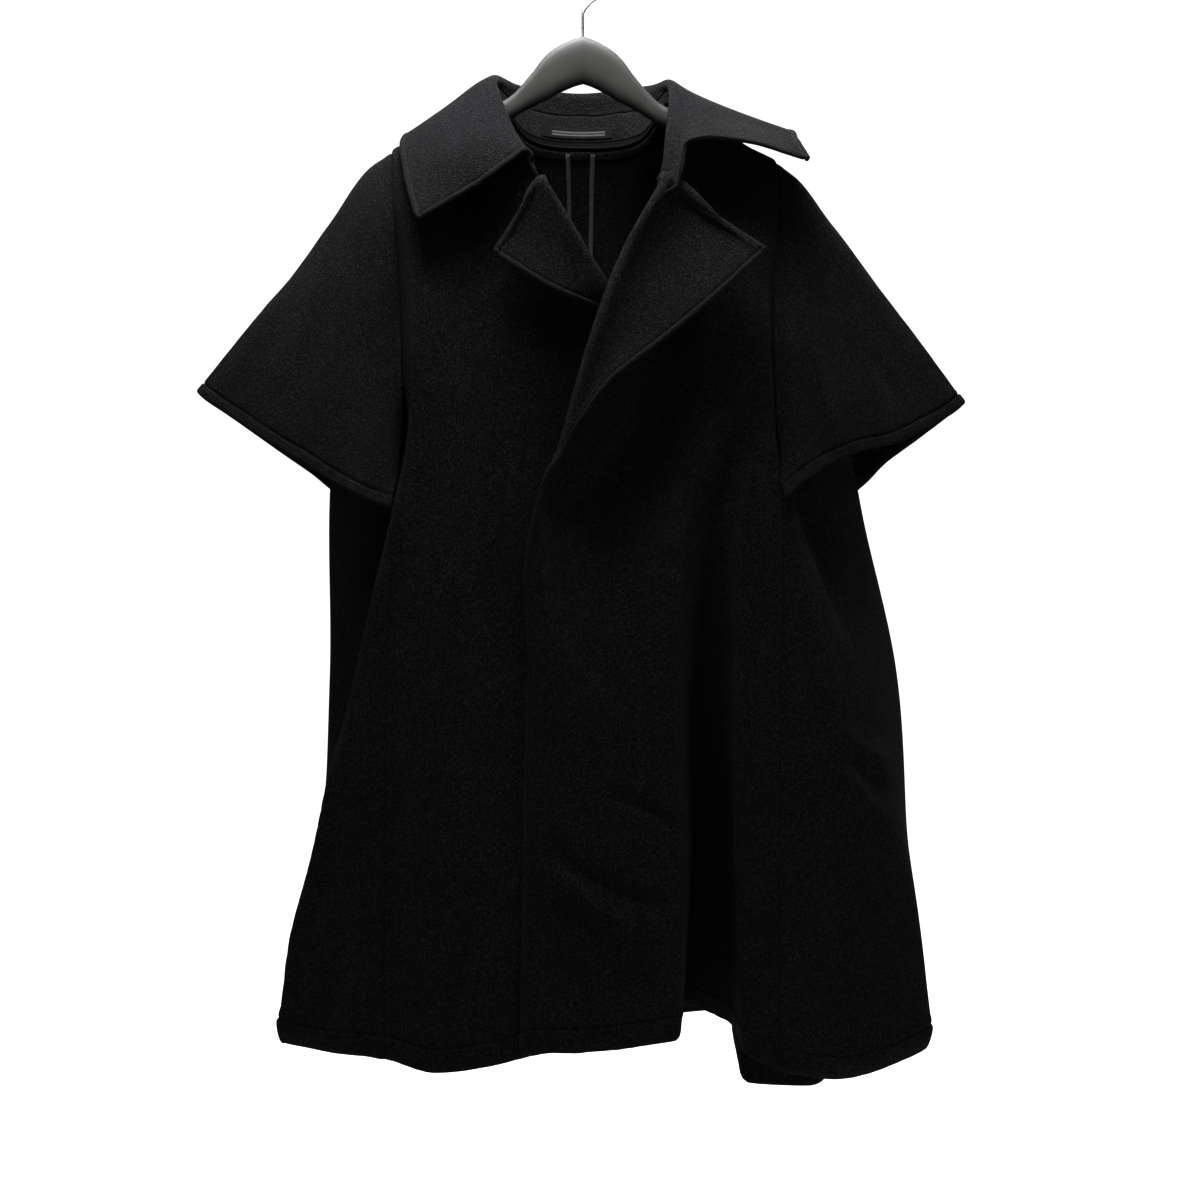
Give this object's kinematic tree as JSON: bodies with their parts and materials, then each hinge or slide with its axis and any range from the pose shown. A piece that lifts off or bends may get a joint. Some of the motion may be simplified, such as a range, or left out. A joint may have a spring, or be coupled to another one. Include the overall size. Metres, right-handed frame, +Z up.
{
  "type": "shawl coat on hanger",
  "caption": "Open felted wool coat with cape sleeves, a wide turned-down collar and turned-back lapels, hanging on a contoured hanger with a wire hook.",
  "frame": {"origin": "inner top of the hanger's hook, where a rail carries it", "axes": "+Z up, against gravity; the coat's front faces -Y; the wearer's left is +X"},
  "size_m": [0.8071, 0.2338, 1.1897],
  "materials": {
    "felted_wool": "matt felted nap, near black",
    "satin_tape": "satin tape, dark grey",
    "woven_label": "woven, bare",
    "hanger_plastic": "satin moulded, dark grey",
    "hook_wire": "plated wire"
  },
  "bodies": {
    "root": {"front_left": "felted_wool", "front_right": "felted_wool", "side_left": "felted_wool", "side_right": "felted_wool", "back_left": "felted_wool", "back_right": "felted_wool", "sleeve_left": "felted_wool", "sleeve_right": "felted_wool", "collar_stand": "felted_wool", "collar_leaf": "felted_wool", "neck_tape": "satin_tape", "seam_binding_left": "satin_tape", "seam_binding_right": "satin_tape", "neck_label": "woven_label", "hanger": "hanger_plastic", "hanger_hook": "hook_wire"}
  },
  "joints": []
}
